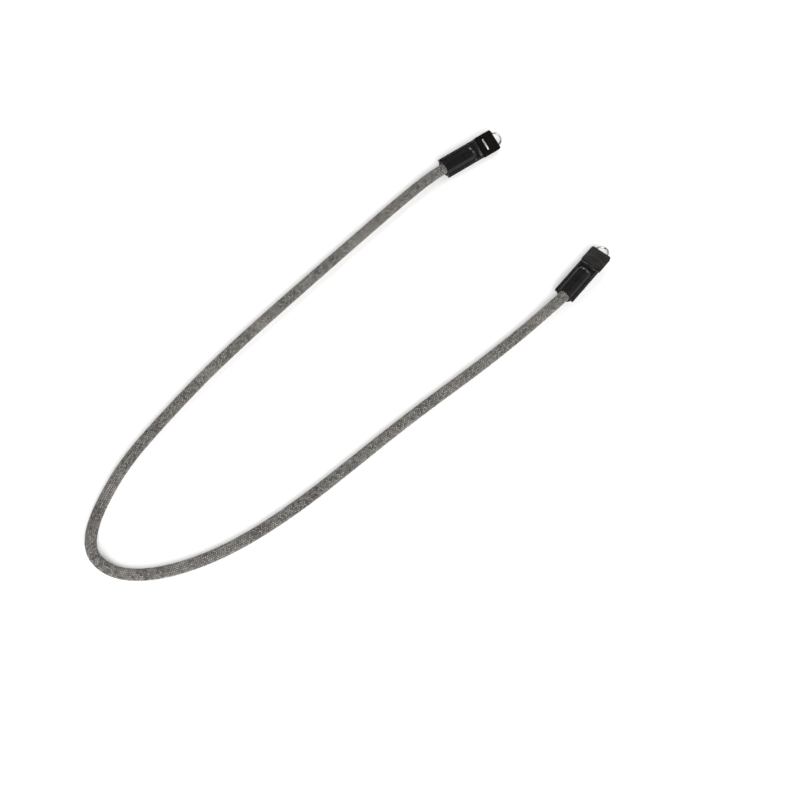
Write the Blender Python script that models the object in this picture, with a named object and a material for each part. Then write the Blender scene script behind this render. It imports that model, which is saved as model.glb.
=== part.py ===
"""Neck strap for a camera: one braided rope with a leather sleeve, a guard pad and a D-ring at each end.

The strap lies on a flat surface at z = 0, in one open loop. Lengths are in metres.
Each end fitting is modelled in a frame of its own: +X runs out of the sleeve's mouth plane
towards the ring, +Y runs across the strap, and z = 0 is the surface.
"""
import math

import bmesh
import bpy
import numpy as np
from mathutils import Matrix, Vector

MM = 0.001

# Rope
ROPE_DIAMETER = 9.0 * MM
ROPE_FREE_LENGTH = 898.0 * MM
ROPE_GRIP = 26.0 * MM
ROPE_FIT = 0.3 * MM
ROPE_SETTLE = 45.0 * MM
SAMPLES_PER_SPAN = 2

# Leather sleeve, two layers sewn together beside the rope
LEATHER = 1.5 * MM
FLANGE_WIDTH = 2.2 * MM
DOME_LENGTH = 5.5 * MM
TONGUE_LENGTH = 5.0 * MM
EDGE_ROUND = 0.5 * MM

# Leather guard pad of two layers round the ring, sewn between the sleeve's layers by a tab
GUARD_LENGTH = 17.0 * MM
GUARD_WIDTH = 18.0 * MM
GUARD_WALL = 1.0 * MM
GUARD_FRONT_CORNER = 1.8 * MM
GUARD_BACK_CORNER = 1.2 * MM
GUARD_EDGE_ROUND = 0.8 * MM
TAB_LENGTH = 5.5 * MM
TAB_WIDTH = 10.5 * MM
TAB_THICKNESS = 1.8 * MM
SEAT_GAP = 0.3 * MM

# Steel D-ring, held in the guard pad, with its bar in a window of one face
WIRE_DIAMETER = 1.7 * MM
RING_WIDTH = 12.5 * MM
RING_LENGTH = 18.1 * MM
RING_CORNER = 1.7 * MM
BAR_SETBACK = 6.1 * MM
BAR_SUNK = 0.25 * MM
WINDOW_MARGIN = 0.15 * MM

# The lay on the surface, drawn in millimetres for a rope whose free length is the drawn one:
# each sleeve's mouth with its heading, and the free route from the left mouth to the right one.
# The right fitting is turned over and lies nearly flat, and the left one's roll is worked out below
DRAWN_FREE_LENGTH = 898.0 * MM
LEFT_MOUTH = (-62.8, 49.0)
LEFT_HEADING = math.radians(37.5)
RIGHT_MOUTH = (29.1, -82.8)
RIGHT_HEADING = math.radians(53.5)
RIGHT_ROLL = math.radians(188.0)
FREE_ROUTE = (
    (-79.3, 34.9),
    (-110.3, 1.9),
    (-154.8, -49.1),
    (-198.8, -100.1),
    (-241.8, -152.6),
    (-280.8, -207.1),
    (-301.8, -242.1),
    (-312.8, -269.1),
    (-318.8, -293.1),
    (-316.3, -314.6),
    (-302.3, -327.6),
    (-282.3, -331.1),
    (-262.8, -328.1),
    (-243.8, -321.6),
    (-226.3, -313.1),
    (-193.3, -291.1),
    (-161.3, -264.1),
    (-130.3, -234.6),
    (-81.8, -188.6),
    (-31.8, -143.6),
    (16.7, -96.0),
)

# Derived sizes
ROPE_RADIUS = ROPE_DIAMETER / 2
BORE_RADIUS = ROPE_RADIUS + ROPE_FIT
BULGE_RADIUS = BORE_RADIUS + LEATHER
MID_HEIGHT = BULGE_RADIUS
SLEEVE_HALF_WIDTH = BULGE_RADIUS + FLANGE_WIDTH
BORE_DEPTH = ROPE_GRIP + ROPE_FIT
DOME_START = BORE_DEPTH
DOME_END = DOME_START + DOME_LENGTH
SLEEVE_LENGTH = DOME_END + TONGUE_LENGTH
TONGUE_HALF_HEIGHT = TAB_THICKNESS / 2 + SEAT_GAP + LEATHER
WIRE_RADIUS = WIRE_DIAMETER / 2
BAR_X = SLEEVE_LENGTH + BAR_SETBACK
LEG_Y = RING_WIDTH / 2 - WIRE_RADIUS
RING_REACH = RING_LENGTH - WIRE_DIAMETER
CHANNEL_RADIUS = WIRE_RADIUS + SEAT_GAP
GUARD_THICKNESS = 2 * (CHANNEL_RADIUS + GUARD_WALL)
BAR_RAISE = GUARD_THICKNESS / 2 - BAR_SUNK
GUARD_BACK = SLEEVE_LENGTH + SEAT_GAP
GUARD_FRONT = SLEEVE_LENGTH + GUARD_LENGTH

# Left to itself, a fitting leans over until it rests on its bulge and on the pad's lower edge
GUARD_REACH = math.hypot(GUARD_WIDTH / 2, GUARD_THICKNESS / 2)
LEFT_ROLL = math.asin(min(MID_HEIGHT / GUARD_REACH, 1.0)) - math.atan(GUARD_THICKNESS / GUARD_WIDTH)

WELD = 0.00001
BORE_SIDES = 24
ARC_STEPS = 5
BOW_STEPS = 12


def clear_scene():
    """Remove every object, so that the script starts from nothing."""
    for found in list(bpy.data.objects):
        bpy.data.objects.remove(found, do_unlink=True)


def new_collection(name):
    """Add a collection to the scene."""
    made = bpy.data.collections.new(name)
    bpy.context.scene.collection.children.link(made)
    return made


def new_material(name, color, roughness, metallic):
    """Make a plain Principled material."""
    made = bpy.data.materials.new(name)
    made.use_nodes = True
    shader = made.node_tree.nodes["Principled BSDF"]
    shader.inputs["Base Color"].default_value = (*color, 1.0)
    shader.inputs["Roughness"].default_value = roughness
    shader.inputs["Metallic"].default_value = metallic
    made.diffuse_color = (*color, 1.0)
    return made


def add_object(name, data, collection, material=None):
    """Put mesh or curve data in a collection as one named object."""
    made = bpy.data.objects.new(name, data)
    collection.objects.link(made)
    if material is not None:
        data.materials.append(material)
    return made


def closed_mesh(name, shape):
    """Turn a closed bmesh into a mesh with its faces pointing out."""
    bmesh.ops.recalc_face_normals(shape, faces=shape.faces)
    mesh = bpy.data.meshes.new(name)
    shape.to_mesh(mesh)
    shape.free()
    return mesh


def laid(point):
    """A drawn point's place in metres, the lay scaled about the middle between the mouths."""
    middle = (np.array(LEFT_MOUTH) + np.array(RIGHT_MOUTH)) / 2
    spread = ROPE_FREE_LENGTH / DRAWN_FREE_LENGTH
    return (middle + (np.array(point) - middle) * spread) * MM


def fitting_place(mouth, heading, roll):
    """Matrix from a fitting's own frame to the world, headed and rolled about its middle line."""
    to_middle = Matrix.Translation((0, 0, MID_HEIGHT))
    rolled = to_middle @ Matrix.Rotation(roll, 4, "X") @ to_middle.inverted()
    return Matrix.Translation((*laid(mouth), 0)) @ Matrix.Rotation(heading, 4, "Z") @ rolled


def ease(share):
    """Smooth step from 0 to 1."""
    held = min(max(share, 0.0), 1.0)
    return held * held * (3 - 2 * held)


# Rope

def spline_through(points, steps):
    """Points of the natural cubic spline through the given ones, with so many steps to each span."""
    knots = np.array(points, dtype=float)
    chord = np.linalg.norm(np.diff(knots, axis=0), axis=1)
    count = len(knots)
    system = np.eye(count)
    right_side = np.zeros((count, knots.shape[1]))
    for i in range(1, count - 1):
        before, after = chord[i - 1], chord[i]
        system[i, i - 1:i + 2] = before, 2 * (before + after), after
        right_side[i] = 6 * ((knots[i + 1] - knots[i]) / after - (knots[i] - knots[i - 1]) / before)
    bend = np.linalg.solve(system, right_side)
    read = []
    for i, span in enumerate(chord):
        for step in range(steps):
            b = step / steps
            a = 1 - b
            pull = ((a ** 3 - a) * bend[i] + (b ** 3 - b) * bend[i + 1]) * span * span / 6
            read.append(a * knots[i] + b * knots[i + 1] + pull)
    read.append(knots[-1])
    return np.array(read)


def rope_points():
    """The rope's centre line from inside the left sleeve to inside the right one."""
    ends = []
    for mouth, heading in ((LEFT_MOUTH, LEFT_HEADING), (RIGHT_MOUTH, RIGHT_HEADING)):
        grip = ROPE_GRIP * np.array((math.cos(heading), math.sin(heading)))
        # The point half way in keeps the rope straight in its bore
        ends.append((laid(mouth) + grip, laid(mouth) + grip / 2, laid(mouth)))
    route = [*ends[0], *(laid(point) for point in FREE_ROUTE), *reversed(ends[1])]
    flat = spline_through(route, SAMPLES_PER_SPAN)
    run = np.concatenate(([0.0], np.cumsum(np.linalg.norm(np.diff(flat, axis=0), axis=1))))
    placed = []
    for point, gone in zip(flat, run):
        outside = min(gone, run[-1] - gone) - ROPE_GRIP
        height = MID_HEIGHT + (ROPE_RADIUS - MID_HEIGHT) * ease(outside / ROPE_SETTLE)
        placed.append((point[0], point[1], height))
    return placed


def make_rope(collection, material):
    """The rope as one tube."""
    points = rope_points()
    curve = bpy.data.curves.new("rope", "CURVE")
    curve.dimensions = "3D"
    curve.bevel_depth = ROPE_RADIUS
    curve.bevel_resolution = 4
    curve.use_fill_caps = True
    spline = curve.splines.new("POLY")
    spline.points.add(len(points) - 1)
    for knot, point in zip(spline.points, points):
        knot.co = (*point, 1.0)
    return add_object("rope", curve, collection, material)


# Sleeve

def sleeve_half_height(x, y):
    """Half the sleeve's thickness at a place: sewn layers, the rope's bulge and the tab's rise."""
    if x <= DOME_START:
        swell = 1.0
    else:
        swell = math.sqrt(max(0.0, 1 - ((x - DOME_START) / DOME_LENGTH) ** 2))
    bulge = swell * math.sqrt(max(0.0, BULGE_RADIUS ** 2 - y * y))
    rise = ease((x - DOME_START) / DOME_LENGTH)
    beside = ease((TAB_WIDTH / 2 + 2.5 * LEATHER - abs(y)) / (1.5 * LEATHER))
    sewn = LEATHER + (TONGUE_HALF_HEIGHT - LEATHER) * rise * beside
    return max(bulge, sewn)


def sleeve_section(x):
    """One closed ring of points round the sleeve at x."""
    crest = [BULGE_RADIUS * math.sin(math.radians(angle)) for angle in (0, 18, 36, 52, 66, 77, 86)]
    shoulder = [BULGE_RADIUS + FLANGE_WIDTH * share for share in (0.2, 0.55)]
    half = crest + shoulder + [SLEEVE_HALF_WIDTH - EDGE_ROUND]
    across = [-y for y in reversed(half[1:])] + half
    upper = [(y, sleeve_half_height(x, y)) for y in across]
    side = sleeve_half_height(x, SLEEVE_HALF_WIDTH) - EDGE_ROUND
    ring = [(-SLEEVE_HALF_WIDTH, side), *upper, (SLEEVE_HALF_WIDTH, side)]
    lower = [(y, -z) for y, z in reversed(ring)]
    return [Vector((x, y, MID_HEIGHT + z)) for y, z in ring + lower]


def sleeve_stations():
    """Places along the sleeve where it is cut by a section."""
    straight = [DOME_START * share for share in (0.0, 0.5, 1.0)]
    dome = [DOME_START + DOME_LENGTH * math.sin(math.radians(angle)) for angle in (20, 38, 52, 64, 75, 84)]
    tongue = [DOME_END, (DOME_END + SLEEVE_LENGTH) / 2, SLEEVE_LENGTH]
    return straight + dome + tongue


def loft(name, sections):
    """A closed mesh through rings of equally many points."""
    shape = bmesh.new()
    rings = [[shape.verts.new(point) for point in section] for section in sections]
    count = len(rings[0])
    for first, second in zip(rings, rings[1:]):
        for i in range(count):
            j = (i + 1) % count
            shape.faces.new((first[i], first[j], second[j], second[i]))
    shape.faces.new(reversed(rings[0]))
    shape.faces.new(rings[-1])
    return closed_mesh(name, shape)


def hidden_helper(name, mesh, place, collection):
    """A solid that only shapes another one."""
    helper = add_object(name, mesh, collection)
    helper.matrix_world = place
    helper.hide_render = True
    helper.display_type = "WIRE"
    return helper


def combine(target, helper, operation):
    """Cut the target by the helper, or join the helper to it."""
    step = target.modifiers.new(helper.name, "BOOLEAN")
    step.operation = operation
    step.object = helper


def block(name, low, high, place, collection):
    """A hidden box between two corners of a fitting's own frame."""
    low, high = Vector(low), Vector(high)
    shape = bmesh.new()
    sized = Matrix.Translation((low + high) / 2) @ Matrix.Diagonal((*(high - low), 1))
    bmesh.ops.create_cube(shape, size=1.0, matrix=sized)
    return hidden_helper(name, closed_mesh(name, shape), place, collection)


def make_sleeve(side, place, collection, helpers, material):
    """The leather sleeve with the rope's bore at its mouth and the tab's slot at its far end."""
    sections = [sleeve_section(x) for x in sleeve_stations()]
    sleeve = add_object(f"{side}_sleeve", loft(f"{side}_sleeve", sections), collection, material)
    sleeve.matrix_world = place

    overrun = LEATHER
    shape = bmesh.new()
    centre = Vector(((BORE_DEPTH - overrun) / 2, 0, MID_HEIGHT))
    bmesh.ops.create_cone(
        shape, cap_ends=True, segments=BORE_SIDES, radius1=BORE_RADIUS, radius2=BORE_RADIUS,
        depth=BORE_DEPTH + overrun,
        matrix=Matrix.Translation(centre) @ Matrix.Rotation(math.pi / 2, 4, "Y"),
    )
    name = f"{side}_rope_bore"
    combine(sleeve, hidden_helper(name, closed_mesh(name, shape), place, helpers), "DIFFERENCE")

    half_width = TAB_WIDTH / 2 + SEAT_GAP
    half_height = TAB_THICKNESS / 2 + SEAT_GAP
    slot = block(
        f"{side}_tab_slot",
        (SLEEVE_LENGTH - TAB_LENGTH - SEAT_GAP, -half_width, MID_HEIGHT - half_height),
        (SLEEVE_LENGTH + overrun, half_width, MID_HEIGHT + half_height),
        place, helpers,
    )
    combine(sleeve, slot, "DIFFERENCE")
    return sleeve


# Ring

def ring_points():
    """The D's centre line from the middle height: a raised bar, level legs and a bow towards +X."""
    inner = LEG_Y - RING_CORNER
    corner = []
    for step in range(ARC_STEPS + 1):
        turn = math.pi / 2 * step / ARC_STEPS
        x = RING_CORNER * (1 - math.cos(turn))
        corner.append((x, inner + RING_CORNER * math.sin(turn), BAR_RAISE * math.cos(turn) ** 2))
    bow_start = RING_REACH - LEG_Y
    bow = []
    for step in range(BOW_STEPS + 1):
        turn = math.pi * step / BOW_STEPS
        bow.append((bow_start + LEG_Y * math.sin(turn), LEG_Y * math.cos(turn), 0))
    other_corner = [(x, -y, z) for x, y, z in reversed(corner)]
    return [Vector((BAR_X + x, y, z)) for x, y, z in corner + bow + other_corner]


def outline_spline(curve, points):
    """Add a closed run of straight stretches to a curve."""
    spline = curve.splines.new("POLY")
    spline.points.add(len(points) - 1)
    for knot, point in zip(spline.points, points):
        knot.co = (*point.to_3d(), 1)
    spline.use_cyclic_u = True


def ring_curve(name, radius):
    """A closed wire of the ring's path with the given radius."""
    curve = bpy.data.curves.new(name, "CURVE")
    curve.dimensions = "3D"
    curve.bevel_depth = radius
    curve.bevel_resolution = 2
    outline_spline(curve, ring_points())
    return curve


def make_ring(side, place, collection, material):
    """The D-ring, lying level in the middle of the guard pad but for its raised bar."""
    ring = add_object(f"{side}_ring", ring_curve(f"{side}_ring", WIRE_RADIUS), collection, material)
    ring.matrix_world = place @ Matrix.Translation((0, 0, MID_HEIGHT))
    return ring


# Guard pad

def rounded_corner(corner, before, after, radius):
    """Points of the arc that rounds a right-angled corner between two directions."""
    before, after = Vector(before), Vector(after)
    centre = Vector(corner) - radius * (before - after)
    points = []
    for step in range(ARC_STEPS + 1):
        turn = math.pi / 2 * step / ARC_STEPS
        points.append(centre + radius * (math.sin(turn) * before - math.cos(turn) * after))
    return points


def guard_outline():
    """The pad's outline with its rounded corners, anticlockwise."""
    half = GUARD_WIDTH / 2
    ahead, left, behind, right = (1, 0), (0, 1), (-1, 0), (0, -1)
    points = rounded_corner((GUARD_BACK, -half), right, ahead, GUARD_BACK_CORNER)
    points += rounded_corner((GUARD_FRONT, -half), ahead, left, GUARD_FRONT_CORNER)
    points += rounded_corner((GUARD_FRONT, half), left, behind, GUARD_FRONT_CORNER)
    points += rounded_corner((GUARD_BACK, half), behind, right, GUARD_BACK_CORNER)
    return points


def solid_from_curve(name, curve, place, collection, material=None):
    """Make a curve's solid a mesh object with its caps welded."""
    drawn = add_object(f"{name}_curve", curve, collection)
    drawn.matrix_world = place
    bpy.context.view_layer.update()
    mesh = bpy.data.meshes.new_from_object(drawn.evaluated_get(bpy.context.evaluated_depsgraph_get()))
    shape = bmesh.new()
    shape.from_mesh(mesh)
    bmesh.ops.remove_doubles(shape, verts=shape.verts, dist=WELD)
    bmesh.ops.recalc_face_normals(shape, faces=shape.faces)
    shape.to_mesh(mesh)
    shape.free()
    solid = add_object(name, mesh, collection, material)
    solid.matrix_world = drawn.matrix_world
    bpy.data.objects.remove(drawn, do_unlink=True)
    return solid


def make_guard(side, place, collection, helpers, material):
    """The pad with its tab, the channel that holds the ring and the window over the ring's bar."""
    middle = place @ Matrix.Translation((0, 0, MID_HEIGHT))
    curve = bpy.data.curves.new(f"{side}_guard", "CURVE")
    curve.dimensions = "2D"
    curve.fill_mode = "BOTH"
    curve.bevel_depth = GUARD_EDGE_ROUND
    curve.bevel_resolution = 1
    curve.offset = -GUARD_EDGE_ROUND
    curve.extrude = GUARD_THICKNESS / 2 - GUARD_EDGE_ROUND
    outline_spline(curve, guard_outline())
    guard = solid_from_curve(f"{side}_guard", curve, middle, collection, material)

    sunk = GUARD_BACK_CORNER
    half = TAB_THICKNESS / 2
    tab = block(
        f"{side}_tab",
        (SLEEVE_LENGTH - TAB_LENGTH, -TAB_WIDTH / 2, MID_HEIGHT - half),
        (GUARD_BACK + sunk, TAB_WIDTH / 2, MID_HEIGHT + half),
        place, helpers,
    )
    combine(guard, tab, "UNION")

    name = f"{side}_ring_channel"
    channel = solid_from_curve(name, ring_curve(name, CHANNEL_RADIUS), middle, helpers)
    channel.hide_render = True
    channel.display_type = "WIRE"
    combine(guard, channel, "DIFFERENCE")

    half_width = CHANNEL_RADIUS + WINDOW_MARGIN
    half_length = LEG_Y + half_width
    window = block(
        f"{side}_bar_window",
        (BAR_X - half_width, -half_length, MID_HEIGHT + BAR_RAISE),
        (BAR_X + half_width, half_length, MID_HEIGHT + GUARD_THICKNESS),
        place, helpers,
    )
    combine(guard, window, "DIFFERENCE")
    return guard


def main():
    """Build the strap."""
    clear_scene()
    strap = new_collection("camera_neck_strap")
    helpers = new_collection("cutters")
    braid = new_material("braided_rope", (0.16, 0.145, 0.13), 0.85, 0.0)
    leather = new_material("black_leather", (0.012, 0.011, 0.010), 0.45, 0.0)
    steel = new_material("bright_steel", (0.62, 0.62, 0.60), 0.22, 1.0)

    make_rope(strap, braid)
    for side, mouth, heading, roll in (
        ("left", LEFT_MOUTH, LEFT_HEADING, LEFT_ROLL),
        ("right", RIGHT_MOUTH, RIGHT_HEADING, RIGHT_ROLL),
    ):
        place = fitting_place(mouth, heading, roll)
        make_sleeve(side, place, strap, helpers, leather)
        make_guard(side, place, strap, helpers, leather)
        make_ring(side, place, strap, steel)


main()
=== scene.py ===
"""Looks of a braided neck strap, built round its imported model.

The strap is one braided rope with a moulded leather sleeve, a leather guard pad and a steel
D-ring at each end. It lies on a pale floor under soft studio light. Lengths are in metres.
"""
import logging
import math
from collections.abc import Callable, Sequence
from dataclasses import dataclass
from enum import Enum

import bmesh
import bpy
import numpy as np
from mathutils import Matrix, Vector


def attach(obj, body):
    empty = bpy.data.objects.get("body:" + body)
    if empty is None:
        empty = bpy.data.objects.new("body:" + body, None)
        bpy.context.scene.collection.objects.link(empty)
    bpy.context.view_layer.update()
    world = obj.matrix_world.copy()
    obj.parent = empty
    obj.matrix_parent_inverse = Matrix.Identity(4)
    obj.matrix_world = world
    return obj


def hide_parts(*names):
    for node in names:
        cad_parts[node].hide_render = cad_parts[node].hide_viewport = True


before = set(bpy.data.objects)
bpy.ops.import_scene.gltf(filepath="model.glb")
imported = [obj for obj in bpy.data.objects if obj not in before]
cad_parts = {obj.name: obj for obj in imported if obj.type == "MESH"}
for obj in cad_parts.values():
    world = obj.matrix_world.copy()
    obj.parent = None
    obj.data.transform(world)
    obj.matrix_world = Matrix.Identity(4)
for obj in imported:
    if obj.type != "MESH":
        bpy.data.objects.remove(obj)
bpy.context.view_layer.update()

MM = 0.001
ROOT = "root"
log = logging.getLogger("neck_strap")


# Helpers shared by the finishes

def linear(code: str) -> tuple[float, float, float, float]:
    """Turn an sRGB hex value into a linear colour.

    Args:
        code: six hex digits with a leading hash.

    Returns:
        Linear red, green, blue and an alpha of one.
    """
    parts = [int(code[i:i + 2], 16) / 255 for i in (1, 3, 5)]
    red, green, blue = (p / 12.92 if p <= 0.04045 else ((p + 0.055) / 1.055) ** 2.4 for p in parts)
    return red, green, blue, 1.0


def add_node(
    tree: bpy.types.NodeTree,
    kind: str,
    links: dict[str | int, bpy.types.NodeSocket] | None = None,
    values: dict[str | int, object] | None = None,
    **settings: object,
) -> bpy.types.Node:
    """Add a shader node with its settings, constants and links.

    Args:
        tree: the material's node tree.
        kind: the node's class name.
        links: for each input, the output that feeds it.
        values: for each unlinked input, its constant.
        settings: the node's own properties.

    Returns:
        The new node.
    """
    made = tree.nodes.new(kind)
    for name, value in settings.items():
        setattr(made, name, value)
    for socket, value in (values or {}).items():
        made.inputs[socket].default_value = value
    for socket, source in (links or {}).items():
        tree.links.new(source, made.inputs[socket])
    return made


def new_material(
    name: str, constants: dict[str, object],
) -> tuple[bpy.types.Material, bpy.types.NodeTree, bpy.types.Node]:
    """Make a material with a bare Principled shader.

    Args:
        name: the material's name.
        constants: for each of the shader's unlinked inputs that is set, its value.

    Returns:
        The material, its node tree and its Principled shader.
    """
    made = bpy.data.materials.new(name)
    made.use_nodes = True
    tree = made.node_tree
    shader = tree.nodes["Principled BSDF"]
    for socket, value in constants.items():
        shader.inputs[socket].default_value = value
    return made, tree, shader


def colour_ramp(tree: bpy.types.NodeTree, factor: bpy.types.NodeSocket,
                stops: Sequence[tuple[float, str]]) -> bpy.types.NodeSocket:
    """Add a colour ramp.

    Args:
        tree: the material's node tree.
        factor: the value that drives the ramp.
        stops: positions with sRGB hex values.

    Returns:
        The ramp's colour output.
    """
    ramp = add_node(tree, "ShaderNodeValToRGB", {"Fac": factor})
    elements = ramp.color_ramp.elements
    while len(elements) < len(stops):
        elements.new(0.5)
    for element, (position, code) in zip(elements, stops):
        element.position = position
        element.color = linear(code)
    return ramp.outputs["Color"]


# Finishes

@dataclass(frozen=True)
class BraidYarn:
    """Textured polyester yarn, laid up from filaments and braided two over two.

    The filaments scatter light, so a float looks matt with a soft sheen along its crown.
    Its colour is painted darker towards its sides and ends, painted shade where it curves down and dives
    under its neighbours.
    """

    light: str = "#b0aba4"
    middle: str = "#827e79"
    dark: str = "#403d3a"
    # A filament is 0.02 mm thick, too fine to show; drawn as plies 0.1 mm apart
    plies_per_float: float = 9.55
    fuzz_size: float = 0.35 * MM
    drift_size: float = 28.0 * MM

    def build(self) -> bpy.types.Material:
        """Make the yarn's material, which reads each float's own tone, its painted shade and its UV map.

        Returns:
            The material.
        """
        made, tree, shader = new_material("braided_polyester_yarn", {
            "Roughness": 0.72, "Specular IOR Level": 0.35, "Sheen Weight": 0.25, "Sheen Roughness": 0.5})
        tone, depth = (
            add_node(tree, "ShaderNodeAttribute", attribute_name=title, attribute_type="GEOMETRY")
            for title in ("yarn_tone", "yarn_painted_shade"))
        place = add_node(tree, "ShaderNodeTexCoord")
        uv = add_node(tree, "ShaderNodeUVMap", uv_map="float")

        drift = add_node(tree, "ShaderNodeTexNoise", {"Vector": place.outputs["Object"]},
                         {"Scale": 1 / self.drift_size, "Detail": 2.0})
        fuzz = add_node(tree, "ShaderNodeTexNoise", {"Vector": place.outputs["Object"]},
                        {"Scale": 1 / self.fuzz_size, "Detail": 3.0, "Roughness": 0.6})
        mixed = add_node(tree, "ShaderNodeMath", {0: tone.outputs["Fac"], 1: drift.outputs["Fac"]},
                         operation="ADD")
        shade = add_node(tree, "ShaderNodeMath", {0: mixed.outputs[0]}, {1: 0.5}, operation="MULTIPLY")
        base = colour_ramp(tree, shade.outputs[0],
                           [(0.2, self.dark), (0.48, self.middle), (0.8, self.light)])

        # Painted shade: each float's colour is darkened towards its sides and ends, where it curves down
        # and dives under its neighbours
        painted_gap_shade = add_node(tree, "ShaderNodeMapRange", {"Value": depth.outputs["Fac"]},
                       {"From Min": 0.45, "From Max": 1.0, "To Min": 0.03, "To Max": 1.0})
        speck = add_node(tree, "ShaderNodeMapRange", {"Value": fuzz.outputs["Fac"]},
                         {"From Min": 0.3, "From Max": 0.7, "To Min": 0.88, "To Max": 1.08})
        strength = add_node(tree, "ShaderNodeMath", {0: painted_gap_shade.outputs[0], 1: speck.outputs[0]},
                            operation="MULTIPLY")
        shaded = add_node(tree, "ShaderNodeVectorMath", {0: base, 1: strength.outputs[0]},
                          operation="MULTIPLY")
        tree.links.new(shaded.outputs[0], shader.inputs["Base Color"])

        plies = add_node(tree, "ShaderNodeTexWave", {"Vector": uv.outputs["UV"]},
                         {"Scale": self.plies_per_float * math.pi / 10, "Distortion": 0.6, "Detail": 1.0},
                         wave_type="BANDS", bands_direction="Y")
        coarse = add_node(tree, "ShaderNodeBump", {"Height": plies.outputs["Fac"]},
                          {"Strength": 0.55, "Distance": 0.06 * MM})
        fine = add_node(tree, "ShaderNodeBump",
                        {"Height": fuzz.outputs["Fac"], "Normal": coarse.outputs["Normal"]},
                        {"Strength": 0.4, "Distance": 0.05 * MM})
        tree.links.new(fine.outputs["Normal"], shader.inputs["Normal"])
        return made


@dataclass(frozen=True)
class RopeCore:
    """Straight polyester core yarns under the braid, seen only in its gaps; their dark colour is painted
    shade for those gaps.
    """

    # Painted shade: the core is coloured dark to stand for the shade in the gaps between floats
    dark: str = "#231f1d"
    light: str = "#383430"
    yarn_size: float = 0.8 * MM

    def build(self) -> bpy.types.Material:
        """Make the core's material.

        Returns:
            The material.
        """
        made, tree, shader = new_material("core_yarn_painted_gap_shade", {"Roughness": 0.9})
        place = add_node(tree, "ShaderNodeTexCoord")
        grain = add_node(tree, "ShaderNodeTexNoise", {"Vector": place.outputs["Object"]},
                         {"Scale": 1 / self.yarn_size, "Detail": 2.0})
        tint = colour_ramp(tree, grain.outputs["Fac"], [(0.35, self.dark), (0.7, self.light)])
        bump = add_node(tree, "ShaderNodeBump", {"Height": grain.outputs["Fac"]},
                        {"Strength": 0.5, "Distance": 0.1 * MM})
        tree.links.new(tint, shader.inputs["Base Color"])
        tree.links.new(bump.outputs["Normal"], shader.inputs["Normal"])
        return made


@dataclass(frozen=True)
class MouldedLeather:
    """Black top-grain cowhide, dyed through, moulded wet over a former and finished with resin.

    The hide is matt, with pores and fine creases, and the thin smooth resin over it mirrors
    the lamps softly, so it looks black but for a few clear glints. The dye looks a little
    browner and duller where the surface is rubbed.
    """

    name: str = "black_moulded_cowhide"
    base: str = "#090808"
    rubbed: str = "#161413"
    roughness: float = 0.5
    gloss: float = 0.05
    resin: float = 0.42
    resin_roughness: float = 0.24
    # Pores are about 0.15 mm apart; drawn 0.5 mm apart so that they show
    pore_size: float = 0.5 * MM
    crease_size: float = 3.0 * MM
    mottle_size: float = 7.0 * MM

    def build(self) -> bpy.types.Material:
        """Make the leather's material.

        Returns:
            The material.
        """
        made, tree, shader = new_material(self.name, {
            "Specular IOR Level": self.gloss, "Coat Weight": self.resin,
            "Coat Roughness": self.resin_roughness})
        place = add_node(tree, "ShaderNodeTexCoord").outputs["Object"]
        mottle = add_node(tree, "ShaderNodeTexNoise", {"Vector": place},
                          {"Scale": 1 / self.mottle_size, "Detail": 5.0, "Roughness": 0.65})
        pores = add_node(tree, "ShaderNodeTexVoronoi", {"Vector": place},
                         {"Scale": 1 / self.pore_size, "Randomness": 1.0}, feature="DISTANCE_TO_EDGE")
        creases = add_node(tree, "ShaderNodeTexNoise", {"Vector": place},
                           {"Scale": 1 / self.crease_size, "Detail": 6.0, "Roughness": 0.7,
                            "Distortion": 0.8})
        tint = colour_ramp(tree, mottle.outputs["Fac"], [(0.42, self.base), (0.72, self.rubbed)])
        tree.links.new(tint, shader.inputs["Base Color"])
        dull = add_node(tree, "ShaderNodeMapRange", {"Value": mottle.outputs["Fac"]},
                        {"From Min": 0.35, "From Max": 0.7, "To Min": self.roughness - 0.06,
                         "To Max": self.roughness + 0.14})
        tree.links.new(dull.outputs[0], shader.inputs["Roughness"])
        grain = add_node(tree, "ShaderNodeBump", {"Height": pores.outputs["Distance"]},
                         {"Strength": 0.14, "Distance": 0.12 * MM})
        relief = add_node(tree, "ShaderNodeBump",
                          {"Height": creases.outputs["Fac"], "Normal": grain.outputs["Normal"]},
                          {"Strength": 0.12, "Distance": 0.25 * MM})
        tree.links.new(relief.outputs["Normal"], shader.inputs["Normal"])
        return made


@dataclass(frozen=True)
class PolishedSteel:
    """Steel wire, bent, welded, tumbled and nickel plated, so it mirrors with a faint haze."""

    tint: str = "#b0aea9"
    scratch_size: float = 0.4 * MM

    def build(self) -> bpy.types.Material:
        """Make the metal's material.

        Returns:
            The material.
        """
        made, tree, shader = new_material("nickel_plated_steel", {
            "Base Color": linear(self.tint), "Metallic": 1.0})
        place = add_node(tree, "ShaderNodeTexCoord").outputs["Object"]
        haze = add_node(tree, "ShaderNodeTexNoise", {"Vector": place},
                        {"Scale": 1 / self.scratch_size, "Detail": 4.0, "Roughness": 0.7})
        rough = add_node(tree, "ShaderNodeMapRange", {"Value": haze.outputs["Fac"]},
                         {"From Min": 0.3, "From Max": 0.7, "To Min": 0.24, "To Max": 0.36})
        tree.links.new(rough.outputs[0], shader.inputs["Roughness"])
        bump = add_node(tree, "ShaderNodeBump", {"Height": haze.outputs["Fac"]},
                        {"Strength": 0.08, "Distance": 0.02 * MM})
        tree.links.new(bump.outputs["Normal"], shader.inputs["Normal"])
        return made


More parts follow.
